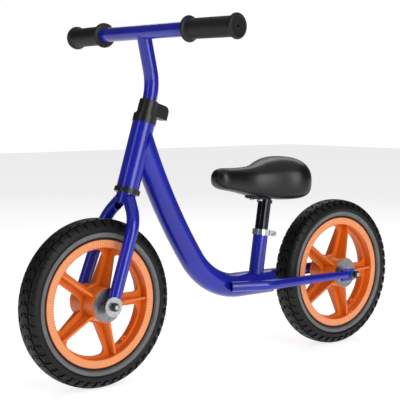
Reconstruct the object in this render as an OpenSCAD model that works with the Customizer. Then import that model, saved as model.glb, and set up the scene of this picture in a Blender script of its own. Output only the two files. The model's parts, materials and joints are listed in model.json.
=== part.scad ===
// Child's balance bike: one fat bent beam, a straight fork, two moulded wheels.
// Origin on the ground midway between the wheels, +X forward, +Y to the rider's left, +Z up.

/* [Overall] */
// Distance between the two axles
wheelbase = 583; // [560:1:705]
// Radius of both tyres, which is also the axle height
wheel_r = 146; // [122:1:176]
// Lean of the steering axis from the vertical, degrees
head_angle = 17.5; // [14:0.5:21]
// Distance of the front axle ahead of the steering axis
fork_rake = 8; // [4:0.5:12]
// Lean of the seat tube from the vertical, degrees
seat_angle = 9.2; // [7:0.1:11]

/* [Beam] */
// Outer diameter of the bent beam
beam_d = 44.5; // [37:0.5:54]
// Wall of the bent beam
beam_wall = 1.8; // [1.2:0.1:2.6]
// Height of the beam's level stretch below the axles
beam_drop = 2.5; // [0:0.5:10]
// Gap between the rear tyre and the beam's closed end
beam_tyre_gap = 34; // [20:1:60]
// Radius of the low bend, on the centre line
beam_bend_r = 138; // [110:1:165]
// Slope of the beam above the low bend, degrees from level
beam_slope = 56; // [52:0.5:60]
// Slope of the beam where it meets the head tube, degrees from level
beam_top_slope = 69.3; // [64:0.1:74]
// Height up the head tube at which the beam's centre line ends
beam_join = 92; // [80:1:100]
// Thickness of the beam's end cap
beam_cap_t = 3; // [2:0.5:5]

/* [Head tube and headset] */
// Outer diameter of the head tube
head_d = 39.5; // [37.5:0.5:46]
// Bore of the head tube
head_bore = 34; // [33:0.5:35]
// Length of the head tube
head_len = 118.5; // [100:0.5:142]
// Outer diameter of the upper cup
upper_cup_d = 42; // [41:0.5:50]
// Height of the upper cup above the head tube
upper_cup_h = 14; // [12:0.5:17]
// Outer diameter of the lower cup
lower_cup_d = 45.5; // [43:0.5:54]
// Height of the lower cup below the head tube
lower_cup_h = 8.3; // [8:0.1:10]
// Depth to which each cup is pressed into the head tube
cup_press = 8; // [5:0.5:12]
// Outer diameter of the two headset bearings
headset_bearing_d = 37; // [35:0.5:38]
// Height of the two headset bearings
headset_bearing_h = 5.5; // [4:0.5:6]

/* [Fork] */
// Gap between the front tyre and the fork crown
crown_gap = 30; // [22:1:38]
// Height of the fork crown
crown_h = 19; // [17:1:23]
// Diameter of the fork crown
crown_d = 34; // [32:0.5:40]
// Diameter of the accessory hole through the crown
crown_hole_d = 6.6; // [5:0.1:8]
// Outer diameter of the steerer tube
steerer_d = 28.6; // [28.2:0.1:30]
// Wall of the steerer tube
steerer_wall = 1.5; // [1.2:0.1:1.8]
// Outer diameter of the fork legs
leg_d = 22.2; // [19:0.1:26]
// Wall of the fork legs
leg_wall = 1.5; // [1:0.1:2]
// Distance of each leg from the middle plane at the axle
leg_y = 49.5; // [48:0.5:60]
// Distance of each leg's shoulder from the middle plane
leg_shoulder_y = 44; // [40:0.5:54]
// Depth of the leg's shoulder below the crown top
leg_shoulder_drop = 45; // [38:1:54]
// Bend radius of the leg's shoulder
leg_bend_r = 72; // [60:1:80]
// Radius of the flat fork end round the axle
fork_end_r = 10.5; // [9:0.5:13]
// Thickness of the flat fork end
fork_end_t = 6; // [5:0.5:7]

/* [Stem, bar and grips] */
// Outer diameter of the stem and the bar
bar_d = 25.4; // [22:0.1:25.4]
// Wall of the stem and the bar
bar_wall = 1.5; // [1.2:0.1:2]
// Length of stem held inside the fork at rest
stem_insert = 147; // [122:1:150]
// Length of the stem's inclined top, from its bend corner to the bar
stem_top_len = 94.3; // [79:0.1:113]
// Forward bend of the stem, degrees
stem_bend = 30.2; // [26:0.1:36]
// Radius of the stem bend
stem_bend_r = 100; // [80:1:120]
// Half of the bar's straight middle
bar_half = 95; // [79:1:114]
// Back sweep of each bar end, degrees
bar_sweep = 6.4; // [3:0.1:8]
// Radius of the bar's two bends
bar_bend_r = 80; // [60:1:100]
// Distance from the bar's bend corner to the grip's inner face
grip_start = 23.5; // [19:0.5:28]
// Length of a grip
grip_len = 113; // [94:1:136]
// Diameter of a grip's body
grip_d = 34.6; // [30:0.1:38]
// Diameter of a grip's inner flange
grip_flange_d = 45; // [42:0.5:54]
// Diameter of a grip's outer flange
grip_end_d = 42.8; // [42:0.1:52]
// Thickness of a grip's flanges
grip_flange_t = 7; // [5:0.5:9]

/* [Stem clamp] */
// Outer diameter of the clamp's ring
clamp_d = 33.6; // [32.5:0.1:40]
// Height of the clamp
clamp_h = 24; // [20:0.5:29]
// Reach of the clamp's ears behind the steering axis
clamp_reach = 40; // [36:0.5:48]
// Width over both ears
clamp_w = 20; // [18:0.5:24]
// Slot between the ears
clamp_slot = 3; // [2:0.5:4]
// Distance of the clamp's bolt behind the steering axis
clamp_bolt_x = 28; // [26:0.5:31]

/* [Seat tube, post and saddle] */
// Outer diameter of the seat tube
seat_tube_d = 28.6; // [28.2:0.1:32]
// Wall of the seat tube
seat_tube_wall = 1.5; // [1.2:0.1:1.8]
// Length of the seat tube above the beam's centre line
seat_tube_len = 103; // [86:0.5:124]
// Distance of the seat tube from the beam's closed end
seat_tube_x = 34; // [28:1:41]
// Outer diameter of the seat post
post_d = 25.4; // [24:0.1:25.4]
// Wall of the seat post
post_wall = 1.6; // [1.2:0.1:2.4]
// Height of the seat post's top above the beam's centre line
post_top = 163; // [150:0.5:195]
// Length of the seat post
post_len = 141; // [118:1:146]
// Outer diameter of the seat clamp's ring
seat_clamp_d = 34; // [33:0.5:41]
// Height of the seat clamp
seat_clamp_h = 11; // [9:0.5:13]
// Reach of the seat clamp's lugs behind the post
seat_clamp_reach = 33; // [29:0.5:40]
// Distance of the seat clamp's bolt behind the post
seat_clamp_bolt_x = 26.5; // [24:0.5:27.5]
// Length of the saddle
saddle_len = 232; // [195:1:278]
// Width of the saddle at the back
saddle_w = 146; // [122:1:175]
// Width of the saddle's nose
saddle_nose_w = 44; // [37:1:53]
// Distance from the saddle's tail to the post
saddle_setback = 102; // [85:1:122]
// Thickness of the saddle at its nose
saddle_h = 38; // [32:1:45]
// Height of the nose's underside above the post's top
saddle_nose_lift = 25; // [22:1:29]
// Rise of the saddle's tail above its nose
saddle_kick = 17; // [13:1:21]

/* [Chain stays] */
// Outer diameter of the chain stays at the front
stay_d = 19; // [16:0.5:22]
// Outer diameter of the chain stays at the dropouts
stay_end_d = 15; // [12.5:0.5:18]
// Wall of the chain stays
stay_wall = 1.4; // [1:0.1:2]
// Distance of each stay from the middle plane beside the wheel
stay_y = 57; // [54:0.5:64]
// Distance of the stays' front ends ahead of the low bend
stay_lead = 40; // [33:1:48]
// Length of the stay's outward slanting front stretch, fore and aft
stay_slant = 70; // [58:1:84]
// Bend radius of the stays
stay_bend_r = 60; // [40:1:72]
// Thickness of the rear dropouts
dropout_t = 5; // [4:0.5:6]
// Radius of the rear dropouts round the axle
dropout_r = 11; // [9.5:0.5:13]

/* [Wheels] */
// Radial height of the tyre above the rim seat
tyre_h = 36; // [30:1:43]
// Width of the tyre
tyre_w = 45; // [42:1:54]
// Width of the rim
rim_w = 36; // [34:1:43]
// Radial depth of the rim's channel
rim_depth = 14; // [12:1:17]
// Wall of the rim's channel
rim_wall = 3; // [2.5:0.1:3.6]
// Number of spokes
spokes = 5; // [4:1:6]
// Width of a spoke's flat web
spoke_w = 22; // [18:1:26]
// Thickness of the web in the wheel's middle plane
web_t = 5; // [4:0.5:6]
// Width of the web ring inside the rim
web_ring = 4.5; // [3:0.5:6]
// Direction of the small valve boss from the first spoke, degrees
valve_angle = 310; // [300:1:320]
// Thickness of the rib on each spoke
rib_t = 4; // [3:0.5:5]
// Outer diameter of the hub barrel
hub_d = 60; // [50:1:72]
// Wall of the hub barrel
hub_wall = 3; // [2.5:0.1:3.6]
// Length of the hub over its cover discs
hub_len = 71; // [68:0.5:73]
// Thickness of the hub's cover discs
disc_t = 1.3; // [1:0.1:2]

/* [Axles] */
// Diameter of the axles
axle_d = 8; // [7:0.5:9]
// Length of the front axle
front_axle_len = 126; // [123:1:150]
// Length of the rear axle
rear_axle_len = 142; // [140:1:170]
// Outer diameter of the wheel bearings
bearing_d = 22; // [19:0.5:24]
// Width of the wheel bearings
bearing_w = 7; // [6:0.5:8]
// Size of the axle nuts across their flats
nut_af = 13; // [12:0.5:15]
// Height of the axle nuts
nut_h = 6.5; // [5:0.5:8]
// Diameter of the large front axle washers
front_washer_d = 34; // [29:0.5:36]
// Diameter of the rear axle washers
rear_washer_d = 18; // [15:0.5:21]
// Thickness of the axle washers
washer_t = 2; // [1.5:0.1:2.4]

/* [Hidden] */
$fn = 48;

// Clearances
slip = 0.1;       // radial, for a tube or shaft that turns or slides in a bore
seat_gap = 0.3;   // between pieces that pass each other
held = 0.05;      // radial, for a piece that is clamped or pushed on
over = 1;         // how far a cutter passes a face
collar_l = 0.8;   // length of the collar at a tube's bend
collar_proud = 0.08;

// Places
front_x = wheelbase / 2;
rear_x = -wheelbase / 2;
steer_foot = [front_x - fork_rake * cos(head_angle), 0, wheel_r - fork_rake * sin(head_angle)];
crown_bottom = wheel_r + crown_gap;
crown_top = crown_bottom + crown_h;
race_t = 0.7;
head_bottom = crown_top + race_t + lower_cup_h;
head_top = head_bottom + head_len;
clamp_bottom = head_top + upper_cup_h + 2.5;
clamp_top = clamp_bottom + clamp_h;
beam_z = wheel_r - beam_drop;
beam_end_x = rear_x + wheel_r + beam_tyre_gap;
seat_x = beam_end_x + seat_tube_x;
saddle_z = beam_z + post_top * cos(seat_angle);
saddle_x = seat_x - post_top * sin(seat_angle);

// A point of the steering axis's own plane, given forward of and up the axis
function steer_point(x, s) = [
    steer_foot[0] + x * cos(head_angle) - s * sin(head_angle),
    steer_foot[2] + x * sin(head_angle) + s * cos(head_angle),
];
function heading(a) = [cos(a), sin(a)];

// The beam's centre line, in the XZ plane: level, a low bend, a short straight, then one long
// gentle bend that crosses the steering axis at beam_top and is cut off inside the head tube
beam_top = steer_point(0, head_bottom + beam_join);
beam_straight = 5;
beam_low_end = beam_z + beam_bend_r * (1 - cos(beam_slope)) + beam_straight * sin(beam_slope);
beam_top_bend_r = (beam_top[1] - beam_low_end) / (cos(beam_slope) - cos(beam_top_slope));
beam_poke = 1.2;
beam_centre = beam_top + beam_top_bend_r * heading(beam_top_slope + 90);
beam_arc_start = beam_centre - beam_top_bend_r * heading(beam_slope + 90);
beam_arc_end = beam_centre - beam_top_bend_r * heading(beam_top_slope + beam_poke + 90);
beam_arc_t = beam_top_bend_r * tan((beam_top_slope + beam_poke - beam_slope) / 2);
beam_corner_2 = beam_arc_start + beam_arc_t * heading(beam_slope);
beam_corner_1 = [beam_corner_2[0] - (beam_corner_2[1] - beam_z) / tan(beam_slope), beam_z];
beam_bend_x = beam_corner_1[0] - beam_bend_r * tan(beam_slope / 2);
beam_bends = [beam_bend_r, beam_top_bend_r];

// The stem's centre line, forward of and up the steering axis
stem_corner_s = clamp_top + 1 + stem_bend_r * tan(stem_bend / 2);
stem_low = clamp_top - stem_insert;
bar_at = [stem_top_len * sin(stem_bend), stem_corner_s + stem_top_len * cos(stem_bend)];
bar_place = steer_point(bar_at[0], bar_at[1]);

// Stays and dropouts
stay_front_x = beam_bend_x + stay_lead;
stay_z = wheel_r + 1;
stay_rear_x = rear_x + 20;
stay_path = [
    [stay_front_x, beam_d / 2 + 4],
    [stay_front_x - stay_slant, stay_y - 1],
    [stay_rear_x, stay_y],
];
stay_slot = 14;
stay_round = 30;

// Fork legs, across and up from the axle in the legs' own tilted plane
leg_tilt = atan(fork_rake / (crown_top - 8));
leg_low = 15;
leg_path = [
    [11, crown_top - 8],
    [leg_shoulder_y, crown_top - leg_shoulder_drop],
    [leg_y, leg_low],
];

// Wheels
rim_r = wheel_r - tyre_h;
web_r = rim_r - rim_depth;
window_out = web_r - web_ring;
window_in = hub_d / 2 + 4;
boss_r = bearing_d / 2 + 4;
bearing_out = hub_len / 2 - disc_t - 1;
front_inner = leg_y - 3.5;
rear_inner = stay_y - dropout_t / 2;

blue = [0.04, 0.07, 0.62];
orange = [0.95, 0.42, 0.1];
black = [0.07, 0.07, 0.07];
silver = [0.72, 0.72, 0.74];

// ---- helpers ----

// The steering axis's own frame: z up the axis, x forward, level with the front axle
module steer() {
    translate(steer_foot) rotate([0, -head_angle, 0]) children();
}

// The seat tube's own frame: z up the tube, from the beam's centre line
module seat_frame() {
    translate([seat_x, 0, beam_z]) rotate([0, -seat_angle, 0]) children();
}

// Turns a shape drawn in XY into the XZ plane, with its Z towards -Y
module upright() {
    rotate([90, 0, 0]) children();
}

module both_sides() {
    children();
    mirror([0, 1, 0]) children();
}

// A ring or tube along Z
module ring(outer, inner, h) {
    difference() {
        cylinder(h = h, d = outer);
        translate([0, 0, -over]) cylinder(h = h + 2 * over, d = inner);
    }
}

// A cylinder along Y, from y to y + h
module across(d, y, h) {
    translate([0, y, 0]) rotate([-90, 0, 0]) cylinder(h = h, d = d);
}

function seg_a(p, i) = atan2(p[i + 1][1] - p[i][1], p[i + 1][0] - p[i][0]);
function turn(p, i) = seg_a(p, i) - seg_a(p, i - 1);
function tangent(p, r, i) = (i == 0 || i == len(p) - 1) ? 0 : r[i - 1] * tan(abs(turn(p, i)) / 2);

// A round tube along corners p in the XY plane, bent at each inner corner to a radius from r.
// A hair-thin collar joins each bend to the straights beside it.
module rod_path(p, r, d, bore) {
    for (i = [0 : len(p) - 2]) {
        a = seg_a(p, i);
        from = tangent(p, r, i);
        length = norm(p[i + 1] - p[i]) - from - tangent(p, r, i + 1);
        if (length > 0.1) translate(p[i] + from * heading(a)) rotate([0, 0, a]) rotate([0, 90, 0])
            linear_extrude(length) tube_section(d, bore);
    }
    for (i = [1 : len(p) - 2]) {
        t = turn(p, i);
        side = t > 0 ? 1 : -1;
        a = seg_a(p, i - 1);
        start = p[i] - tangent(p, r, i) * heading(a);
        end = p[i] + tangent(p, r, i) * heading(a + t);
        centre = start + side * r[i - 1] * heading(a + 90);
        from = t > 0 ? a - 90 : a + 90 + t;
        translate(centre) rotate([0, 0, from])
            rotate_extrude(angle = abs(t), $fn = r[i - 1] > 300 ? 240 : 96) translate([r[i - 1], 0]) tube_section(d, bore);
        translate(start) rotate([0, 0, a]) joint_collar(d, bore);
        if (norm(p[i + 1] - end) > 0.1) translate(end) rotate([0, 0, a + t]) joint_collar(d, bore);
    }
}

module joint_collar(d, bore) {
    rotate([0, 90, 0]) translate([0, 0, -collar_l / 2]) linear_extrude(collar_l)
        tube_section(d + collar_proud, bore - collar_proud);
}

module tube_section(d, bore) {
    difference() {
        circle(d = d);
        circle(d = bore);
    }
}

// A bolt along Y with a round head at its -Y end: shank from y to y + length
module cap_bolt(d, y, length, head_d, head_h) {
    across(d, y, length);
    across(head_d, y - head_h, head_h);
}

module hex_nut(af, bore, y, h) {
    difference() {
        translate([0, y, 0]) rotate([-90, 0, 0]) cylinder(h = h, d = af / cos(30), $fn = 6);
        across(bore, y - over, h + 2 * over);
    }
}

// ---- frame ----

module beam_rod(bore) {
    upright()
        rod_path([[beam_end_x, beam_z], beam_corner_1, beam_corner_2, beam_arc_end], beam_bends, beam_d, bore);
}

module down_tube() {
    color(blue) difference() {
        beam_rod(beam_d - 2 * beam_wall);
        steer() translate([0, 0, head_bottom - 50]) cylinder(h = head_len + 100, d = head_d);
        steer() translate([-4, -beam_d, head_bottom - 50]) cube([beam_d * 2, beam_d * 2, head_len + 100]);
        seat_frame() cylinder(h = seat_tube_len, d = seat_tube_d);
    }
}

module beam_end_cap() {
    color(blue) translate([beam_end_x - beam_cap_t, 0, beam_z]) rotate([0, 90, 0])
        cylinder(h = beam_cap_t, d = beam_d);
}

module head_tube() {
    color(blue) steer() translate([0, 0, head_bottom]) ring(head_d, head_bore, head_len);
}

module seat_tube() {
    foot = beam_d / 2 - beam_wall - 6;
    color(blue) seat_frame() difference() {
        translate([0, 0, foot]) ring(seat_tube_d, seat_tube_d - 2 * seat_tube_wall, seat_tube_len - foot);
        translate([-seat_tube_d, -1, seat_tube_len - 28]) cube([seat_tube_d, 2, 30]);
    }
}

module stay() {
    bend_end = stay_path[1] + stay_round * heading(seg_a(stay_path, 1));
    taper = norm(stay_path[2] - bend_end);
    front = [stay_path[0], stay_path[1], bend_end];
    difference() {
        translate([0, 0, stay_z]) union() {
            rod_path(front, [stay_bend_r], stay_d, stay_d - 2 * stay_wall);
            translate(bend_end) rotate([0, 0, seg_a(stay_path, 1)]) rotate([0, 90, 0]) difference() {
                translate([0, 0, -collar_l / 2]) cylinder(h = taper, d1 = stay_d + collar_proud, d2 = stay_end_d);
                translate([0, 0, -over])
                    cylinder(h = taper - 3, d1 = stay_d - 2 * stay_wall - collar_proud, d2 = stay_end_d - 2 * stay_wall);
            }
        }
        translate([beam_end_x, 0, beam_z]) rotate([0, 90, 0]) cylinder(h = beam_bend_x - beam_end_x, d = beam_d);
        beam_bend_cut();
        dropout_blank();
    }
}

// The solid shape of the beam's low bend
module beam_bend_cut() {
    translate([beam_bend_x, 0, beam_z + beam_bend_r]) rotate([90, 0, 0]) rotate([0, 0, -90])
        rotate_extrude(angle = beam_slope, $fn = 96) translate([beam_bend_r, 0]) circle(d = beam_d);
}

module dropout_blank() {
    front = stay_rear_x + stay_slot - 2;
    translate([rear_x, rear_inner, wheel_r]) rotate([-90, 0, 0]) cylinder(h = dropout_t, r = dropout_r);
    translate([rear_x, rear_inner, wheel_r - dropout_r]) cube([front - rear_x, dropout_t, 2 * dropout_r]);
}

module dropout() {
    difference() {
        dropout_blank();
        translate([rear_x, 0, wheel_r]) across(axle_d + 2 * slip, rear_inner - over, dropout_t + 2 * over);
    }
}

module chain_stay_left() { color(blue) stay(); }
module chain_stay_right() { color(blue) mirror([0, 1, 0]) stay(); }
module dropout_left() { color(blue) dropout(); }
module dropout_right() { color(blue) mirror([0, 1, 0]) dropout(); }

// ---- headset ----

pocket_d = headset_bearing_d;
cup_floor = 5;

module upper_headset_cup() {
    color(black) steer() translate([0, 0, head_top]) difference() {
        union() {
            translate([0, 0, 0]) cylinder(h = upper_cup_h, d = upper_cup_d);
            translate([0, 0, -cup_press]) cylinder(h = cup_press, d = head_bore);
        }
        translate([0, 0, -cup_press - over]) cylinder(h = upper_cup_h + 2 * cup_press, d = steerer_d + 1.4);
        translate([0, 0, cup_floor]) cylinder(h = upper_cup_h, d = pocket_d);
    }
}

module lower_headset_cup() {
    color(black) steer() translate([0, 0, head_bottom]) difference() {
        union() {
            translate([0, 0, -lower_cup_h]) cylinder(h = lower_cup_h, d = lower_cup_d);
            cylinder(h = cup_press, d = head_bore);
        }
        translate([0, 0, -lower_cup_h - over]) cylinder(h = lower_cup_h + 2 * cup_press, d = steerer_d + 1.4);
        translate([0, 0, -lower_cup_h - over]) cylinder(h = headset_bearing_h + seat_gap + over, d = pocket_d);
    }
}

module headset_bearing(s) {
    color(silver) steer() translate([0, 0, s]) ring(pocket_d, steerer_d + 2 * slip, headset_bearing_h);
}

module upper_headset_bearing() { headset_bearing(head_top + cup_floor); }
module lower_headset_bearing() { headset_bearing(head_bottom - lower_cup_h + seat_gap); }

module crown_race() {
    color(silver) steer() translate([0, 0, crown_top])
        ring(crown_d - 2, steerer_d + 2 * held, race_t);
}

module headset_top_cap() {
    low = head_top + cup_floor + headset_bearing_h + seat_gap;
    color(black) steer() translate([0, 0, low])
        ring(pocket_d - 2 * seat_gap, steerer_d + 2 * held, clamp_bottom - low);
}

// ---- fork ----

module steerer_tube() {
    color(blue) steer() difference() {
        translate([0, 0, crown_bottom])
            ring(steerer_d, steerer_d - 2 * steerer_wall, clamp_top - 1 - crown_bottom);
        translate([-steerer_d, -1, clamp_bottom + 2]) cube([steerer_d, 2, clamp_h]);
        crown_hole();
    }
}

module crown_hole() {
    translate([-crown_d, 0, crown_top - 7]) rotate([0, 90, 0]) cylinder(h = 2 * crown_d, d = crown_hole_d);
}

module fork_crown() {
    color(blue) steer() difference() {
        translate([0, 0, crown_bottom]) ring(crown_d, steerer_d, crown_h);
        crown_hole();
    }
}

// The plane of the legs leans from the crown to the axle
module leg_plane() {
    steer() translate([fork_rake, 0, 0]) rotate([0, -leg_tilt, 0]) rotate([0, 0, 90]) upright() children();
}

module leg() {
    low = leg_path[2];
    up = heading(seg_a(leg_path, 1) + 180);
    difference() {
        union() {
            leg_plane() rod_path(leg_path, [leg_bend_r], leg_d, leg_d - 2 * leg_wall);
            leg_plane() translate(low) rotate([0, 0, seg_a(leg_path, 1) + 180]) rotate([0, 90, 0])
                cylinder(h = 6, d = leg_d - leg_wall);
        }
        steer() translate([0, 0, crown_bottom - 40]) cylinder(h = crown_h + 80, d = crown_d);
        fork_end_blank();
        // room for the large washer
        axle_at(front_x) across(front_washer_d + 0.6, front_inner + fork_end_t, leg_d);
    }
}

module fork_end_blank() {
    translate([front_x, front_inner, wheel_r]) rotate([-90, 0, 0]) cylinder(h = fork_end_t, r = fork_end_r);
    translate([front_x, front_inner, wheel_r]) rotate([0, -head_angle - leg_tilt, 0])
        translate([-fork_end_r + 0.5, 0, 0]) cube([2 * fork_end_r - 1, fork_end_t, 34]);
}

module fork_end() {
    difference() {
        fork_end_blank();
        translate([front_x, 0, wheel_r]) across(axle_d + 2 * slip, front_inner - over, fork_end_t + 2 * over);
    }
}

module fork_leg_left() { color(blue) leg(); }
module fork_leg_right() { color(blue) mirror([0, 1, 0]) leg(); }
module fork_end_left() { color(blue) fork_end(); }
module fork_end_right() { color(blue) mirror([0, 1, 0]) fork_end(); }

// ---- clamps ----

// A split ring with two ears behind it: h high, bolt through the ears along Y
module split_clamp(d, bore, h, reach, w, slot, bolt_x, bolt_d) {
    round_r = h * 0.42;
    difference() {
        union() {
            cylinder(h = h, d = d);
            translate([-reach + round_r, -w / 2, 0]) cube([reach - round_r, w, h]);
            translate([-reach, -w / 2, 0]) cube([reach, w, h - round_r]);
            translate([-reach + round_r, 0, h - round_r]) across(2 * round_r, -w / 2, w);
        }
        translate([0, 0, -over]) cylinder(h = h + 2 * over, d = bore);
        translate([-reach - over, -slot / 2, -over]) cube([reach + over, slot, h + 2 * over]);
        translate([-bolt_x, 0, h / 2]) across(bolt_d, -w, 2 * w);
    }
}

module stem_clamp() {
    color(black) steer() translate([0, 0, clamp_bottom]) {
        split_clamp(clamp_d, steerer_d + 2 * held, clamp_h, clamp_reach, clamp_w, clamp_slot, clamp_bolt_x, 6.2);
        translate([-clamp_bolt_x, 0, clamp_h / 2]) across(7, clamp_w / 2 - 2.5, 2.5);
    }
}

module stem_clamp_bolt() {
    color(silver) steer() translate([-clamp_bolt_x, 0, clamp_bottom + clamp_h / 2])
        cap_bolt(6, -clamp_w / 2, clamp_w - 3, 10, 6);
}

seat_clamp_w = 15;

module seat_clamp() {
    color(silver) seat_frame() translate([0, 0, seat_tube_len - seat_clamp_h])
        split_clamp(seat_clamp_d, seat_tube_d + 2 * held, seat_clamp_h, seat_clamp_reach, seat_clamp_w, 3,
            seat_clamp_bolt_x, 5.2);
}

module seat_clamp_bolt() {
    color(black) seat_frame() translate([-seat_clamp_bolt_x, 0, seat_tube_len - seat_clamp_h / 2])
        cap_bolt(5, -seat_clamp_w / 2, seat_clamp_w + 5, 8.5, 5);
}

module seat_clamp_nut() {
    color(silver) seat_frame() translate([-seat_clamp_bolt_x, 0, seat_tube_len - seat_clamp_h / 2])
        hex_nut(8, 5 + 2 * held, seat_clamp_w / 2, 4);
}

// ---- stem, bar, grips ----

module stem_tube() {
    stem_end = bar_at - 5 * [sin(stem_bend), cos(stem_bend)];
    color(blue) difference() {
        steer() upright()
            rod_path([[0, stem_low], [0, stem_corner_s], stem_end], [stem_bend_r], bar_d, bar_d - 2 * bar_wall);
        at_bar() across(bar_d, -bar_half / 2, bar_half);
    }
}

module at_bar() {
    translate([bar_place[0], 0, bar_place[1]]) children();
}

grip_wall = 4;
bar_arm = grip_start + grip_len - grip_wall - 1;

bar_reach = [bar_arm * sin(bar_sweep), bar_arm * cos(bar_sweep)];
bar_path = [
    [-bar_reach[0], -bar_half - bar_reach[1]], [0, -bar_half],
    [0, bar_half], [-bar_reach[0], bar_half + bar_reach[1]],
];

module handlebar() {
    color(blue) at_bar() rod_path(bar_path, [bar_bend_r, bar_bend_r], bar_d, bar_d - 2 * bar_wall);
}

// A grip along Z: flange, ribbed-size body, flange with a dished end and a vent
module grip() {
    r = grip_d / 2;
    fr = grip_flange_d / 2;
    er = grip_end_d / 2;
    t = grip_flange_t;
    c = 1.5;
    dish_r = er - 4;
    bore_r = bar_d / 2 + held;
    rotate_extrude() polygon([
        [bore_r, 0], [fr - 3, 0], [fr, 3], [fr, t - 2], [fr - c, t], [r, t + 2],
        [r, grip_len - t - 1], [er - c, grip_len - t + 1], [er, grip_len - t + 3], [er, grip_len - 2],
        [er - c, grip_len], [dish_r, grip_len], [dish_r - 1, grip_len - 1.5],
        [2, grip_len - 1.5], [2, grip_len - grip_wall], [bore_r, grip_len - grip_wall],
    ]);
}

module place_grip() {
    at_bar() translate([0, bar_half, 0]) rotate([0, 0, bar_sweep]) rotate([-90, 0, 0])
        translate([0, 0, grip_start]) children();
}

module grip_left() { color(black) place_grip() grip(); }
module grip_right() { color(black) mirror([0, 1, 0]) place_grip() grip(); }

// ---- wheels ----

tyre_in_r = rim_r - rim_depth + rim_wall + seat_gap;
tyre_half = tyre_w / 2;
channel_half = rim_w / 2 - rim_wall - seat_gap;
bead_half = rim_w / 2 + 0.5;
crown_w = 9;

// The tyre's side and crown, from the bead out to the middle of the tread
tyre_edge = [
    [rim_r + seat_gap, channel_half],
    [rim_r + seat_gap, bead_half],
    [rim_r + 3.5, bead_half],
    [rim_r + 4.5, bead_half + 1.5],
    [rim_r + 11.5, tyre_half - 1],
    [rim_r + 12.5, tyre_half - 2],
    [wheel_r - 17, tyre_half],
    [wheel_r - 10, tyre_half - 1.5],
    [wheel_r - 5, tyre_half - 4.5],
    [wheel_r - 1.6, tyre_half - 9],
    [wheel_r, crown_w],
];

// Both halves of a profile that is symmetric about the wheel's middle plane
function both_halves(e) = concat(e, [for (i = [len(e) - 1 : -1 : 0]) [e[i][0], -e[i][1]]]);

module wheel_place(x) {
    translate([x, 0, wheel_r]) rotate([-90, 0, 0]) children();
}

module tyre() {
    color(black) rotate_extrude($fn = 96)
        polygon(concat([[tyre_in_r, -channel_half], [tyre_in_r, channel_half]], both_halves(tyre_edge)));
}

function arc(centre, r, from, to, n) = [for (i = [0 : n]) centre + r * heading(from + (to - from) * i / n)];

// One rounded opening between spoke 0 and the next, drawn flat
module window_2d() {
    half = spoke_w / 2;
    pitch = 360 / spokes;
    f_out = 10;
    f_in = 6;
    a_out = asin((half + f_out) / (window_out - f_out));
    a_in = asin((half + f_in) / (window_in + f_in));
    far = window_out - f_out;
    near = window_in + f_in;
    polygon(concat(
        arc(far * heading(a_out), f_out, -90, a_out, 8),
        arc([0, 0], window_out, a_out + 2, pitch - a_out - 2, 12),
        arc(far * heading(pitch - a_out), f_out, pitch - a_out, pitch + 90, 8),
        arc(near * heading(pitch - a_in), f_in, pitch + 90, pitch - a_in + 180, 5),
        arc([0, 0], window_in, pitch - a_in - 3, a_in + 3, 4),
        arc(near * heading(a_in), f_in, a_in + 180, 270, 5)
    ));
}

// A rib on both sides of a spoke's web, from the hub barrel to the rim channel
module rib() {
    in_r = hub_d / 2 - hub_wall / 2;
    out_r = web_r + rim_wall / 2;
    top_in = hub_len / 2 - 8;
    top_out = rim_w / 2 - 3;
    translate([0, rib_t / 2, 0]) upright() linear_extrude(rib_t)
        polygon([[in_r, -top_in], [out_r, -top_out], [out_r, top_out], [in_r, top_in]]);
}

module rim_hoop() {
    rotate_extrude($fn = 96) polygon([
        [web_r, -rim_w / 2], [rim_r, -rim_w / 2], [rim_r, -rim_w / 2 + rim_wall],
        [web_r + rim_wall, -rim_w / 2 + rim_wall], [web_r + rim_wall, rim_w / 2 - rim_wall],
        [rim_r, rim_w / 2 - rim_wall], [rim_r, rim_w / 2], [web_r, rim_w / 2],
    ]);
}

module hub_barrel() {
    barrel_half = hub_len / 2 - disc_t;
    difference() {
        translate([0, 0, -barrel_half]) cylinder(h = 2 * barrel_half, d = hub_d);
        for (side = [0, 1]) mirror([0, 0, side]) translate([0, 0, web_t / 2])
            ring(hub_d - 2 * hub_wall, 2 * boss_r, barrel_half);
        cylinder(h = hub_len, d = bearing_d - 4, center = true);
        for (side = [0, 1]) mirror([0, 0, side]) translate([0, 0, bearing_out - bearing_w])
            cylinder(h = hub_len, d = bearing_d);
    }
}

module rim() {
    color(orange) {
        rim_hoop();
        hub_barrel();
        difference() {
            translate([0, 0, -web_t / 2]) cylinder(h = web_t, r = web_r + rim_wall / 2, $fn = 96);
            translate([0, 0, -web_t]) cylinder(h = 2 * web_t, r = hub_d / 2 - hub_wall / 2);
            for (i = [0 : spokes - 1]) rotate(i * 360 / spokes) translate([0, 0, -web_t])
                linear_extrude(2 * web_t) window_2d();
        }
        for (i = [0 : spokes - 1]) rotate(i * 360 / spokes) rib();
        rotate(valve_angle) translate([window_out - 1, 0, -web_t / 2 + 0.5]) ring(11, 5, web_t - 1);
    }
}

module hub_discs() {
    color(silver) for (side = [0, 1]) mirror([0, 0, side]) translate([0, 0, hub_len / 2 - disc_t])
        ring(hub_d - 3, 16, disc_t);
}

module bearings() {
    color(silver) for (side = [0, 1]) mirror([0, 0, side]) translate([0, 0, bearing_out - bearing_w])
        ring(bearing_d, axle_d + 2 * slip, bearing_w);
}

module hub_sleeve() {
    length = 2 * (bearing_out - bearing_w);
    color(silver) translate([0, 0, -length / 2]) ring(13, axle_d + 2 * slip, length);
}

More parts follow.
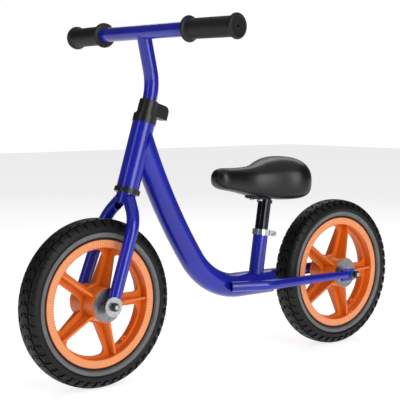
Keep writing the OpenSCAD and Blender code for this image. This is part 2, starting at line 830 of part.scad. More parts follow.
module front_tyre() { wheel_place(front_x) tyre(); }
module front_rim() { wheel_place(front_x) rotate(180) rim(); }
module front_hub_discs() { wheel_place(front_x) hub_discs(); }
module front_bearings() { wheel_place(front_x) bearings(); }
module front_hub_sleeve() { wheel_place(front_x) hub_sleeve(); }
module rear_tyre() { wheel_place(rear_x) tyre(); }
module rear_rim() { wheel_place(rear_x) rotate(180) rim(); }
module rear_hub_discs() { wheel_place(rear_x) hub_discs(); }
module rear_bearings() { wheel_place(rear_x) bearings(); }
module rear_hub_sleeve() { wheel_place(rear_x) hub_sleeve(); }

// ---- axles ----

module axle_at(x) {
    translate([x, 0, wheel_r]) children();
}

module axle(length) {
    color(silver) across(axle_d, -length / 2, length);
}

// Spacers fill each side from the bearing out to the fork end or dropout
module spacers(inner) {
    start = bearing_out + seat_gap;
    color(silver) both_sides() difference() {
        across(14, start, inner - start);
        across(axle_d + 2 * held, start - over, inner - start + 2 * over);
    }
}

module washers(face, d) {
    color(silver) both_sides() difference() {
        across(d, face, washer_t);
        across(axle_d + 2 * held, face - over, washer_t + 2 * over);
    }
}

module nuts(face) {
    color(black) both_sides() hex_nut(nut_af, axle_d + 2 * held, face, nut_h);
}

module front_axle() { axle_at(front_x) axle(front_axle_len); }
module front_axle_spacers() { axle_at(front_x) spacers(front_inner); }
module front_axle_washers() { axle_at(front_x) washers(front_inner + fork_end_t, front_washer_d); }
module front_axle_nuts() { axle_at(front_x) nuts(front_inner + fork_end_t + washer_t); }
module rear_axle() { axle_at(rear_x) axle(rear_axle_len); }
module rear_axle_spacers() { axle_at(rear_x) spacers(rear_inner); }
module rear_axle_washers() { axle_at(rear_x) washers(rear_inner + dropout_t, rear_washer_d); }
module rear_axle_nuts() { axle_at(rear_x) nuts(rear_inner + dropout_t + washer_t); }

// ---- seat post and saddle ----

plate_t = 3;
plate_l = 62;
plate_w = 38;
base_t = 5;
post_collar_d = 30;
screw_places = [for (x = [-23, 23], y = [-12, 12]) [x, y]];
base_inset = 18;
skirt = 8;

module seat_post() {
    color(silver) seat_frame() difference() {
        union() {
            translate([0, 0, post_top - post_len]) cylinder(h = post_len, d = post_d);
            translate([0, 0, post_top - 9]) cylinder(h = 6, d = post_collar_d);
        }
        translate([0, 0, post_top - post_len - over]) cylinder(h = post_len - 6, d = post_d - 2 * post_wall);
        level_cut();
    }
}

// The post's top is cut level to carry the saddle plate
module level_cut() {
    translate([0, 0, post_top]) rotate([0, seat_angle, 0]) translate([-40, -40, 0]) cube([80, 80, 30]);
}

module at_saddle() {
    translate([saddle_x, 0, saddle_z]) children();
}

module saddle_plate() {
    color(silver) at_saddle() difference() {
        translate([-plate_l / 2, -plate_w / 2, 0]) cube([plate_l, plate_w, plate_t]);
        for (p = screw_places) translate([p[0], p[1], -over]) cylinder(h = plate_t + 2 * over, d = 5.2);
    }
}

module saddle_screws() {
    color(silver) at_saddle() for (p = screw_places) translate(p) {
        translate([0, 0, -3]) cylinder(h = 3, d = 8.5);
        cylinder(h = plate_t + base_t - 1, d = 5);
    }
}

tail_r = saddle_w / 2 - 34;
tail_x = -saddle_setback + 40;
nose_x = saddle_len - saddle_setback - saddle_nose_w / 2;
waist_x = tail_x + 44;

nose_r = saddle_nose_w / 2;
nose_top = saddle_nose_lift + saddle_h;
tail_top = nose_top + saddle_kick;

// The saddle's wide back, between two heights: grow is how far it lies outside the drawn line
module saddle_tail(low, high, grow) {
    hull() {
        for (y = [-1, 1]) translate([tail_x, y * tail_r, low]) cylinder(h = high - low, r = 34 + grow, $fn = 32);
        translate([waist_x, 0, low]) cylinder(h = high - low, r = nose_r + 8 + grow, $fn = 32);
    }
}

// The saddle's nose, whose underside climbs from low to the nose's own height
module saddle_nose(low, nose_low, high, grow) {
    hull() {
        translate([waist_x, 0, low]) cylinder(h = high - low, r = nose_r + 8 + grow, $fn = 32);
        translate([nose_x, 0, nose_low]) cylinder(h = high - nose_low, r = nose_r + grow, $fn = 32);
    }
}

module saddle_base() {
    color(black) at_saddle() difference() {
        union() {
            saddle_tail(plate_t, plate_t + base_t, -base_inset);
            base_nose(0);
        }
        for (p = screw_places) translate([p[0], p[1], 0]) cylinder(h = plate_t + base_t - 1, d = 5.2);
    }
}

// The shell under the nose
module base_nose(gap) {
    hull() {
        translate([waist_x, 0, plate_t - gap]) cylinder(h = base_t + 2 * gap, r = nose_r - 8 + gap, $fn = 32);
        translate([nose_x, 0, saddle_nose_lift + 6 - gap])
            cylinder(h = base_t + 2 * gap, r = nose_r - 13 + gap, $fn = 32);
    }
}

// The padding reaches below the plate as a skirt round it
module saddle_cover() {
    tail_low = plate_t + 1 - skirt;
    color(black) at_saddle() difference() {
        union() {
            hull() {
                saddle_tail(tail_low, tail_low + 24, -6);
                saddle_tail(tail_low + 12, tail_top - 28, 0);
                translate([-6, 0, 0]) saddle_tail(tail_low + 12, tail_top, -24);
            }
            hull() {
                saddle_nose(8, saddle_nose_lift + 5, nose_top - 12, 0);
                saddle_nose(12, saddle_nose_lift, nose_top, -9);
            }
        }
        saddle_tail(-skirt - over, plate_t, 1 - base_inset);
        translate([-plate_l / 2 - 1, -plate_w / 2 - 1, -skirt - over])
            cube([plate_l + 2, plate_w + 2, skirt + over + plate_t + seat_gap]);
        saddle_tail(0, plate_t + base_t + seat_gap, seat_gap - base_inset);
        base_nose(seat_gap);
    }
}

head_tube();
down_tube();
beam_end_cap();
seat_tube();
chain_stay_left();
chain_stay_right();
dropout_left();
dropout_right();
upper_headset_cup();
lower_headset_cup();
upper_headset_bearing();
lower_headset_bearing();
seat_clamp();
seat_clamp_bolt();
seat_clamp_nut();
rear_axle();
rear_axle_spacers();
rear_axle_washers();
rear_axle_nuts();
steerer_tube();
fork_crown();
fork_leg_left();
fork_leg_right();
fork_end_left();
fork_end_right();
crown_race();
headset_top_cap();
stem_clamp();
stem_clamp_bolt();
front_axle();
front_axle_spacers();
front_axle_washers();
front_axle_nuts();
stem_tube();
handlebar();
grip_left();
grip_right();
front_tyre();
front_rim();
front_hub_discs();
front_bearings();
front_hub_sleeve();
rear_tyre();
rear_rim();
rear_hub_discs();
rear_bearings();
rear_hub_sleeve();
seat_post();
saddle_plate();
saddle_screws();
saddle_base();
saddle_cover();
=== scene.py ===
# Looks for the balance bike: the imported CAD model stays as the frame, and tyres, saddle and grips are modelled here
import bpy
import json
import math
from mathutils import Matrix, Vector


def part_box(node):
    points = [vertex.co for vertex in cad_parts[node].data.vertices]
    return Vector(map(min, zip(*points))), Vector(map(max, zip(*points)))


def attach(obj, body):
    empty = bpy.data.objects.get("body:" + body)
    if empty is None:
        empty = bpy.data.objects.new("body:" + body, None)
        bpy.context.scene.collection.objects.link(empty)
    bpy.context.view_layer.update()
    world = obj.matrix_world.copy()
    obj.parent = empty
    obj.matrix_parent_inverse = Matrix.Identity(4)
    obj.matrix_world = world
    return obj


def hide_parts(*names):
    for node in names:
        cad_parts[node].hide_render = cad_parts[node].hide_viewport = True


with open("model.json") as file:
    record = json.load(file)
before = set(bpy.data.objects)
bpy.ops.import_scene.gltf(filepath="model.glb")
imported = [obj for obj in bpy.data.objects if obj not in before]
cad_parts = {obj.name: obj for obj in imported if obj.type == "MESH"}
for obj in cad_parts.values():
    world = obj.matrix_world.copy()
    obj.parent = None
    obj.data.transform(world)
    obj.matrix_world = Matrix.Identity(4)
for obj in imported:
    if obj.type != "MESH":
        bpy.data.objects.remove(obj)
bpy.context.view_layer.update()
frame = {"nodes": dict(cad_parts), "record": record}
mm = 0.001

# the places that the CAD gives
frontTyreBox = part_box("front_tyre")
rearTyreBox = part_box("rear_tyre")
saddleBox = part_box("saddle_cover")


def middle(box):
    return (Vector(box[0]) + Vector(box[1])) / 2


frontAxle = middle(frontTyreBox)
rearAxle = middle(rearTyreBox)
tyreRadius = (frontTyreBox[1][2] - frontTyreBox[0][2]) / 2


def deselectAll():
    if bpy.context.mode != 'OBJECT':
        bpy.ops.object.mode_set(mode='OBJECT')
    bpy.ops.object.select_all(action='DESELECT')


def makeActive(piece):
    deselectAll()
    piece.select_set(True)
    bpy.context.view_layer.objects.active = piece


def bakePlace(piece):
    # puts the object at the origin, with its place in its mesh
    makeActive(piece)
    bpy.ops.object.transform_apply(location=True, rotation=True, scale=True)


def applyModifiers(piece):
    makeActive(piece)
    for modifier in list(piece.modifiers):
        bpy.ops.object.modifier_apply(modifier=modifier.name)


def cleanNormals(piece, distance=0.00002):
    makeActive(piece)
    bpy.ops.object.mode_set(mode='EDIT')
    bpy.ops.mesh.select_all(action='SELECT')
    bpy.ops.mesh.remove_doubles(threshold=distance)
    bpy.ops.mesh.normals_make_consistent(inside=False)
    bpy.ops.object.mode_set(mode='OBJECT')


def smoothed(piece, angle=35):
    makeActive(piece)
    bpy.ops.object.shade_smooth_by_angle(angle=math.radians(angle))


def copyWithMesh(piece, name, place=None):
    other = piece.copy()
    other.data = piece.data.copy()
    other.name = name
    bpy.context.collection.objects.link(other)
    if place is not None:
        other.data.transform(place)
    return other


def joined(parts, name):
    deselectAll()
    for part in parts:
        part.select_set(True)
    bpy.context.view_layer.objects.active = parts[0]
    bpy.ops.object.join()
    parts[0].name = name
    return parts[0]


def lathe(name, stations, segments, closed=False):
    # turns a profile of (height, radius) about Z: one circle, extruded from station to station
    height, radius = stations[0]
    deselectAll()
    bpy.ops.mesh.primitive_circle_add(vertices=segments, radius=radius, fill_type='NOTHING', location=(0, 0, 0))
    piece = bpy.context.active_object
    piece.name = name
    bpy.ops.object.mode_set(mode='EDIT')
    bpy.ops.mesh.select_all(action='SELECT')
    bpy.ops.transform.translate(value=(0, 0, height))
    path = stations[1:] + ([stations[0]] if closed else [])
    for nextHeight, nextRadius in path:
        bpy.ops.mesh.extrude_region_move(TRANSFORM_OT_translate={"value": (0, 0, nextHeight - height)})
        k = nextRadius / radius
        bpy.ops.transform.resize(value=(k, k, 1), center_override=(0, 0, nextHeight))
        height, radius = nextHeight, nextRadius
    bpy.ops.object.mode_set(mode='OBJECT')
    cleanNormals(piece)
    return piece


def hexToLinear(colour):
    parts = [int(colour[i:i + 2], 16) / 255 for i in (1, 3, 5)]
    return tuple(c / 12.92 if c <= 0.04045 else ((c + 0.055) / 1.055) ** 2.4 for c in parts) + (1,)


def addNode(tree, kind, settings=None, links=None):
    # settings go to sockets by name, or to the node itself; links give a socket its source
    node = tree.nodes.new(kind)
    for key, value in (settings or {}).items():
        if key in node.inputs:
            node.inputs[key].default_value = value
        else:
            setattr(node, key, value)
    for key, source in (links or {}).items():
        tree.links.new(source, node.inputs[key])
    return node


def newMaterial(name, settings):
    material = bpy.data.materials.new(name)
    material.use_nodes = True
    shader = material.node_tree.nodes["Principled BSDF"]
    for key, value in settings.items():
        shader.inputs[key].default_value = value
    return material, material.node_tree, shader


def twoTones(tree, shader, source, low, high, fromAt=0.35, toAt=0.65):
    ramp = addNode(tree, "ShaderNodeValToRGB", None, {"Fac": source})
    ramp.color_ramp.elements[0].position = fromAt
    ramp.color_ramp.elements[0].color = hexToLinear(low)
    ramp.color_ramp.elements[1].position = toAt
    ramp.color_ramp.elements[1].color = hexToLinear(high)
    tree.links.new(ramp.outputs["Color"], shader.inputs["Base Color"])


def roughnessFrom(tree, shader, source, low, high):
    spread = addNode(tree, "ShaderNodeMapRange", {"To Min": low, "To Max": high}, {"Value": source})
    tree.links.new(spread.outputs["Result"], shader.inputs["Roughness"])


def bumpFrom(tree, shader, source, strength, distance):
    bump = addNode(tree, "ShaderNodeBump", {"Strength": strength, "Distance": distance}, {"Height": source})
    tree.links.new(bump.outputs["Normal"], shader.inputs["Normal"])


def cobaltPaint():
    # baked gloss enamel over steel: deep blue under a clear, slightly rippled skin
    material, tree, shader = newMaterial("cobaltGlossPaint", {
        "Roughness": 0.3, "IOR": 1.5, "Specular IOR Level": 0.3, "Coat Weight": 0.6, "Coat Roughness": 0.06})
    place = addNode(tree, "ShaderNodeTexCoord")
    ripple = addNode(tree, "ShaderNodeTexNoise", {"Scale": 260.0, "Detail": 2.0}, {"Vector": place.outputs["Object"]})  # 4 mm orange peel
    cloud = addNode(tree, "ShaderNodeTexNoise", {"Scale": 14.0, "Detail": 3.0}, {"Vector": place.outputs["Object"]})
    twoTones(tree, shader, cloud.outputs["Fac"], "#0F1692", "#131BA2")
    bumpFrom(tree, shader, ripple.outputs["Fac"], 0.12, 0.0002)
    return material


def mouldedOrange(name, axle):
    # injection-moulded polypropylene: soft gloss, faint flow marks, and a paler ring of fine radial ribs near the tyre
    material, tree, shader = newMaterial(name, {
        "IOR": 1.49, "Subsurface Weight": 0.08, "Subsurface Scale": 0.003, "Subsurface Radius": (1.0, 0.45, 0.15)})
    place = addNode(tree, "ShaderNodeTexCoord")
    flow = addNode(tree, "ShaderNodeTexNoise", {"Scale": 22.0, "Detail": 3.0}, {"Vector": place.outputs["Object"]})
    ramp = addNode(tree, "ShaderNodeValToRGB", None, {"Fac": flow.outputs["Fac"]})
    ramp.color_ramp.elements[0].color = hexToLinear("#DE6A14")
    ramp.color_ramp.elements[1].color = hexToLinear("#E8771E")
    centred = addNode(tree, "ShaderNodeMapping", {"Location": (-axle.x, 0, -axle.z), "Scale": (1, 0, 1)}, {"Vector": place.outputs["Object"]})
    away = addNode(tree, "ShaderNodeVectorMath", {"operation": 'LENGTH'}, {"Vector": centred.outputs["Vector"]})
    band = addNode(tree, "ShaderNodeMath", {"operation": 'COMPARE'})      # 1 on the ring between 97.4 and 109 mm
    band.inputs[1].default_value = 0.1032
    band.inputs[2].default_value = 0.0058
    tree.links.new(away.outputs["Value"], band.inputs[0])
    split = addNode(tree, "ShaderNodeSeparateXYZ", None, {"Vector": centred.outputs["Vector"]})
    turn = addNode(tree, "ShaderNodeMath", {"operation": 'ARCTAN2'})
    tree.links.new(split.outputs["Z"], turn.inputs[0])
    tree.links.new(split.outputs["X"], turn.inputs[1])
    count = addNode(tree, "ShaderNodeMath", {"operation": 'MULTIPLY'})    # 144 ribs, 4.5 mm apart: coarser than life, to show
    count.inputs[1].default_value = 144
    tree.links.new(turn.outputs["Value"], count.inputs[0])
    wave = addNode(tree, "ShaderNodeMath", {"operation": 'SINE'})
    tree.links.new(count.outputs["Value"], wave.inputs[0])
    ribs = addNode(tree, "ShaderNodeMapRange", {"From Min": -1.0, "From Max": 1.0, "To Min": 0.3, "To Max": 0.8}, {"Value": wave.outputs["Value"]})
    onBand = addNode(tree, "ShaderNodeMath", {"operation": 'MULTIPLY'})
    tree.links.new(ribs.outputs["Result"], onBand.inputs[0])
    tree.links.new(band.outputs["Value"], onBand.inputs[1])
    blend = addNode(tree, "ShaderNodeMixRGB", {"Color2": hexToLinear("#F4B083")}, {"Fac": onBand.outputs["Value"], "Color1": ramp.outputs["Color"]})
    tree.links.new(blend.outputs["Color"], shader.inputs["Base Color"])
    roughnessFrom(tree, shader, flow.outputs["Fac"], 0.28, 0.4)
    bumpFrom(tree, shader, onBand.outputs["Value"], 0.35, 0.0006)
    return material


def tyreFoam():
    # closed-cell EVA: matt black skin with fine pores and dust in the tread
    material, tree, shader = newMaterial("blackEvaFoam", {"IOR": 1.5, "Specular IOR Level": 0.32})
    place = addNode(tree, "ShaderNodeTexCoord")
    pores = addNode(tree, "ShaderNodeTexNoise", {"Scale": 1200.0, "Detail": 3.0}, {"Vector": place.outputs["Object"]})  # 0.8 mm pores
    dust = addNode(tree, "ShaderNodeTexNoise", {"Scale": 40.0, "Detail": 4.0}, {"Vector": place.outputs["Object"]})
    twoTones(tree, shader, dust.outputs["Fac"], "#040404", "#080808")
    roughnessFrom(tree, shader, pores.outputs["Fac"], 0.4, 0.58)
    bumpFrom(tree, shader, pores.outputs["Fac"], 0.25, 0.0003)
    return material


def gripRubber():
    # moulded TPR: dull black with a faint sheen along its ribs
    material, tree, shader = newMaterial("blackGripRubber", {"IOR": 1.52, "Specular IOR Level": 0.4})
    place = addNode(tree, "ShaderNodeTexCoord")
    grain = addNode(tree, "ShaderNodeTexNoise", {"Scale": 700.0, "Detail": 3.0}, {"Vector": place.outputs["Object"]})
    wear = addNode(tree, "ShaderNodeTexNoise", {"Scale": 50.0, "Detail": 3.0}, {"Vector": place.outputs["Object"]})
    twoTones(tree, shader, wear.outputs["Fac"], "#040404", "#080808")
    roughnessFrom(tree, shader, wear.outputs["Fac"], 0.4, 0.55)
    bumpFrom(tree, shader, grain.outputs["Fac"], 0.2, 0.0002)
    return material


def saddleVinyl():
    # embossed PVC leathercloth over foam: satin black with a pebbled grain
    material, tree, shader = newMaterial("blackSaddleVinyl", {"IOR": 1.5, "Specular IOR Level": 0.45})
    place = addNode(tree, "ShaderNodeTexCoord")
    pebble = addNode(tree, "ShaderNodeTexVoronoi", {"Scale": 620.0}, {"Vector": place.outputs["Object"]})  # 1.6 mm pebbles
    hand = addNode(tree, "ShaderNodeTexNoise", {"Scale": 18.0, "Detail": 3.0}, {"Vector": place.outputs["Object"]})
    twoTones(tree, shader, hand.outputs["Fac"], "#030304", "#060607")
    roughnessFrom(tree, shader, hand.outputs["Fac"], 0.28, 0.38)
    bumpFrom(tree, shader, pebble.outputs["Distance"], 0.18, 0.0003)
    return material


def metal(name, low, high, roughLow, roughHigh, scale, metallic=1.0):
    material, tree, shader = newMaterial(name, {"Metallic": metallic})
    place = addNode(tree, "ShaderNodeTexCoord")
    marks = addNode(tree, "ShaderNodeTexNoise", {"Scale": scale, "Detail": 4.0}, {"Vector": place.outputs["Object"]})
    twoTones(tree, shader, marks.outputs["Fac"], low, high)
    roughnessFrom(tree, shader, marks.outputs["Fac"], roughLow, roughHigh)
    bumpFrom(tree, shader, marks.outputs["Fac"], 0.05, 0.0001)
    return material


print("mixing the finishes")
finishes = {
    "frame_paint": cobaltPaint(),
    "black_steel": metal("blackPowderCoat", "#0A0A0B", "#111113", 0.3, 0.42, 500.0, 0.0),
    "bearing_steel": metal("groundBearingSteel", "#A2A3A5", "#B6B7BA", 0.22, 0.34, 300.0),
    "zinc_steel": metal("zincPlatedSteel", "#AFB1B4", "#C6C8CB", 0.24, 0.4, 220.0),
    "disc_steel": metal("pressedSteelDisc", "#85868A", "#9C9DA1", 0.3, 0.46, 180.0),
    "clamp_alloy": metal("polishedAluminium", "#C2C4C7", "#D6D8DA", 0.14, 0.24, 260.0),
    "post_chrome": metal("darkChromePlate", "#2E2F32", "#3A3B3F", 0.07, 0.13, 90.0),
    "rim_plastic": mouldedOrange("mouldedOrangeFront", frontAxle),
    "tyre_foam": tyreFoam(),
    "grip_rubber": gripRubber(),
    "saddle_plastic": metal("blackMouldedShell", "#0B0B0B", "#121212", 0.5, 0.65, 300.0, 0.0),
    "saddle_cover": saddleVinyl(),
}
# EVA skin where the mould is polished, with a soft shine: its dark grey colour is a painted reflection, standing in for
# the light that the glossy band catches
sidewallPaintedReflection, sidewallTree, sidewallShader = newMaterial("evaSidewallPaintedReflection", {"IOR": 1.5, "Roughness": 0.38})
sidewallPlace = addNode(sidewallTree, "ShaderNodeTexCoord")
sidewallNoise = addNode(sidewallTree, "ShaderNodeTexNoise", {"Scale": 60.0, "Detail": 3.0}, {"Vector": sidewallPlace.outputs["Object"]})
twoTones(sidewallTree, sidewallShader, sidewallNoise.outputs["Fac"], "#5E5E60", "#6A6A6C")
for part in frame["record"]["subparts"]:
    node = frame["nodes"][part["node"]]
    for materialSlot in node.material_slots:
        materialSlot.material = finishes[part["material_slot"]]
rearOrange = mouldedOrange("mouldedOrangeRear", rearAxle)
for materialSlot in frame["nodes"]["rear_rim"].material_slots:
    materialSlot.material = rearOrange


def finishPiece(piece, body, slotName, replaced=()):
    if len(piece.data.materials) < 2:
        piece.data.materials.clear()
        piece.data.materials.append(finishes[slotName])
    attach(piece, body)
    if replaced:
        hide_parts(*replaced)


tyre = {
    "seat": 110.4,      # radius of the bead, in mm
    "half": 22.4,       # half the width
    "ground": 143.2,    # radius of the bottom of the tread's grooves
    "pitches": 48,
    "blockHeight": 2.9,
}


def groundRadius(y):
    # the tyre's outline under the tread: how far out it is at a distance y from its middle plane
    y = abs(y)
    if y < 8:
        return tyre["ground"] - 0.3 * (y / 8) ** 2
    t = min((y - 8) / (tyre["half"] - 8.4), 1)
    return tyre["ground"] - 0.3 - 15.5 * (1 - math.sqrt(max(1 - t * t, 0)))


def makeTyreBody():
    half = tyre["half"]
    side = [
        (17.8, 110.4), (18.5, 110.6), (18.5, 113.4), (18.1, 113.9), (18.3, 114.6),
        (20.4, 115.2), (21.3, 116.4), (21.6, 121.4), (20.9, 122.4), (20.7, 123.2), (21.5, 124.2), (half - 0.2, 126.0), (half, 128.0),
    ]
    tread = []
    for i in range(16):
        y = (half - 0.4) * math.cos(math.radians(90 * i / 16))
        tread.append((y, groundRadius(y)))
    near = side + tread[1:]
    stations = near + [(0, tyre["ground"])] + [(-y, r) for y, r in reversed(near)]
    stations = [(y * mm, r * mm) for y, r in stations]
    piece = lathe("tyreBody", stations, 192, closed=True)
    return piece


def paintSidewallReflection(piece):
    # the smooth band beside the rim is a glossier skin than the tread; its greyer colour is a painted reflection of the
    # light that the band catches
    piece.data.materials.clear()
    piece.data.materials.append(finishes["tyre_foam"])
    piece.data.materials.append(sidewallPaintedReflection)
    for face in piece.data.polygons:
        radius = math.hypot(face.center.x, face.center.y) / mm
        # faces on the band take the grey material that paints the band's reflection
        if 114.2 < radius < 122.6 and abs(face.center.z) > 17 * mm:
            face.material_index = 1


def makeBlock(name, outline, thickness):
    # one tread block: a patch laid over the tyre's outline, then given its thickness
    # outline is a list of rows (y, first angle, last angle)
    deselectAll()
    rows = len(outline)
    columns = 3
    bpy.ops.mesh.primitive_grid_add(x_subdivisions=columns - 1, y_subdivisions=rows - 1, size=2, location=(0, 0, 0))
    piece = bpy.context.active_object
    piece.name = name
    for vertex in piece.data.vertices:
        row = round((vertex.co.y + 1) / 2 * (rows - 1))
        across = (vertex.co.x + 1) / 2
        y, first, last = outline[row]
        angle = math.radians(first + (last - first) * across)
        radius = (groundRadius(y) - 0.3) * mm
        vertex.co = (radius * math.cos(angle), radius * math.sin(angle), y * mm)
    wall = piece.modifiers.new("wall", 'SOLIDIFY')
    wall.thickness = thickness * mm
    wall.offset = 1
    applyModifiers(piece)
    cleanNormals(piece, 0.000001)
    return piece


def makeTreadPitch():
    step = 360 / tyre["pitches"]
    parts = []
    # wide blocks with thin L-shaped cuts between them, then a row of knobs over the shoulder
    inner = [(5.0, 0.06, 0.93), (7.9, 0.06, 0.93), (7.95, 0.34, 0.93), (9.95, 0.34, 0.93), (10.0, 0.34, 1.21), (13.3, 0.34, 1.21)]
    shoulder = [(15.0, 0.0, 0.76), (17.2, 0.0, 0.76), (17.25, 0.18, 0.74), (19.4, 0.2, 0.74), (20.9, 0.22, 0.72)]
    for side, shift in ((1, 0), (-1, 0.5)):
        for rows in (inner, shoulder):
            outline = [(side * y, (a + shift) * step, (b + shift) * step) for y, a, b in rows]
            if side < 0:
                outline.reverse()
            parts.append(makeBlock("block", outline, tyre["blockHeight"]))
    # the bridge between two pockets of the middle row
    parts.append(makeBlock("bridge", [(-2.6, 0.36 * step, step), (2.6, 0.36 * step, step)], tyre["blockHeight"]))
    pitch = joined(parts, "treadPitch")
    return pitch


def makeTread():
    pitch = makeTreadPitch()
    copies = [pitch]
    for i in range(1, tyre["pitches"]):
        turn = Matrix.Rotation(2 * math.pi * i / tyre["pitches"], 4, 'Z')
        copies.append(copyWithMesh(pitch, "treadPitch", turn))
    tread = joined(copies, "tread")
    # two smooth rails bound the row of small pockets along the middle
    rails = []
    for side in (1, -1):
        rails.append(lathe("rail", [(side * y * mm, r * mm) for y, r in (
            (2.3, 142.6), (2.3, 145.5), (2.7, 145.9), (4.8, 145.8), (5.2, 145.4), (5.2, 142.6))], 192, closed=True))
    return joined([tread] + rails, "tread")


print("moulding the tyres")
tyreModel = joined([makeTyreBody(), makeTread()], "tyreModel")
smoothed(tyreModel, 30)
paintSidewallReflection(tyreModel)
upright = Matrix.Rotation(math.radians(-90), 4, 'X')
for wheelName, axle in (("front", frontAxle), ("rear", rearAxle)):
    wheelTyre = copyWithMesh(tyreModel, wheelName + "TyreTread", Matrix.Translation(axle) @ upright)
    finishPiece(wheelTyre, wheelName + "_wheel", "tyre_foam", [wheelName + "_tyre"])
bpy.data.objects.remove(tyreModel)


grip = {
    "length": 113.0,
    "body": 17.3,       # radius over the ribs
    "ribs": 34,
    "ribDepth": 0.55,
    "inner": 22.5,      # radius of the flange beside the bar
    "outer": 21.4,      # radius of the flange at the end
}


def makeGrip(name):
    length, body = grip["length"], grip["body"]
    inner, outer = grip["inner"], grip["outer"]
    stations = [(0.0, 12.9), (0.0, inner - 3.4), (0.6, inner - 1.6), (2.0, inner - 0.3), (3.4, inner), (4.6, inner - 0.4),
                (5.8, inner - 1.6), (6.6, inner - 3.2), (7.4, body + 0.6), (9.0, body - 0.2)]
    start, end = 9.6, length - 11.4
    for i in range(grip["ribs"]):
        at = start + (end - start) * i / grip["ribs"]
        pitch = (end - start) / grip["ribs"]
        low = body - grip["ribDepth"]
        stations += [(at, low), (at + pitch * 0.25, body - 0.05), (at + pitch * 0.6, body - 0.05), (at + pitch * 0.85, low)]
    stations += [(end, body - 0.3), (length - 10.0, body + 0.6), (length - 8.6, outer - 3.0), (length - 7.0, outer - 1.0),
                 (length - 5.4, outer - 0.1), (length - 3.6, outer), (length - 1.9, outer - 0.5), (length - 0.7, outer - 1.6),
                 (length, outer - 3.0), (length, outer - 4.6), (length - 0.5, outer - 5.2), (length - 1.4, outer - 5.6),
                 (length - 1.5, 3.2), (length - 1.5, 2.2), (length - 4.0, 2.2), (length - 4.0, 12.9)]
    piece = lathe(name, [(z * mm, r * mm) for z, r in stations], 56, closed=True)
    smoothed(piece, 40)
    return piece


print("moulding the grips")
# each grip lies along the bar's swept end
barSweep = math.radians(6.4)
for gripName, node in (("leftGrip", "grip_left"), ("rightGrip", "grip_right")):
    low, high = [Vector(corner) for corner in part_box(node)]
    side = 1 if high.y > 0 else -1
    along = Vector((-math.sin(barSweep), side * math.cos(barSweep), 0))
    # the inner flange's middle: the box's inner corner less the flange's lean
    innerY = (low.y if side > 0 else high.y) + side * grip["inner"] * mm * math.sin(barSweep)
    innerX = high.x - grip["inner"] * mm * math.cos(barSweep)
    origin = Vector((innerX, innerY, (low.z + high.z) / 2))
    piece = makeGrip(gripName)
    turn = along.to_track_quat('Z', 'X').to_matrix().to_4x4()
    piece.data.transform(Matrix.Translation(origin) @ turn)
    finishPiece(piece, "handlebar", "grip_rubber", [node])


saddle = {
    "sections": 30,
    "around": 40,
    "wellCorner": 16.0,     # the well's rounded corners, in mm
    "shellInset": 9.0,
    "wellFront": 127.0,     # how far the well reaches from the tail
}
saddleLow, saddleHigh = [Vector(corner) for corner in saddleBox]
saddleLength = saddleHigh.x - saddleLow.x
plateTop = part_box("saddle_plate")[1][2]


def between(table, t):
    # a smooth curve through a short table of (t, value)
    slopes = []
    for i in range(len(table)):
        before, after = table[max(i - 1, 0)], table[min(i + 1, len(table) - 1)]
        slopes.append((after[1] - before[1]) / (after[0] - before[0]))
    for i, ((t0, v0), (t1, v1)) in enumerate(zip(table, table[1:])):
        if t <= t1:
            h = t1 - t0
            k = (t - t0) / h
            return (v0 * (1 + 2 * k) * (1 - k) ** 2 + v1 * k * k * (3 - 2 * k)
                    + slopes[i] * h * k * (1 - k) ** 2 + slopes[i + 1] * h * k * k * (k - 1))
    return table[-1][1]


halfWidths = [(0, 0.7), (0.1, 0.9), (0.22, 1.0), (0.34, 0.93), (0.48, 0.64), (0.62, 0.41), (0.78, 0.32), (1, 0.31)]
tops = [(0, 0.84), (0.12, 0.94), (0.28, 1.0), (0.42, 0.93), (0.56, 0.815), (0.72, 0.775), (1, 0.79)]
bottoms = [(0, 0.18), (0.12, 0.04), (0.26, 0.0), (0.44, 0.02), (0.6, 0.11), (0.78, 0.23), (1, 0.34)]


def endRounding(distance, radius):
    # how far a section has opened at a distance from a rounded end
    k = min(distance / radius, 1)
    return math.sqrt(max(1 - (1 - k) ** 2, 0.0))


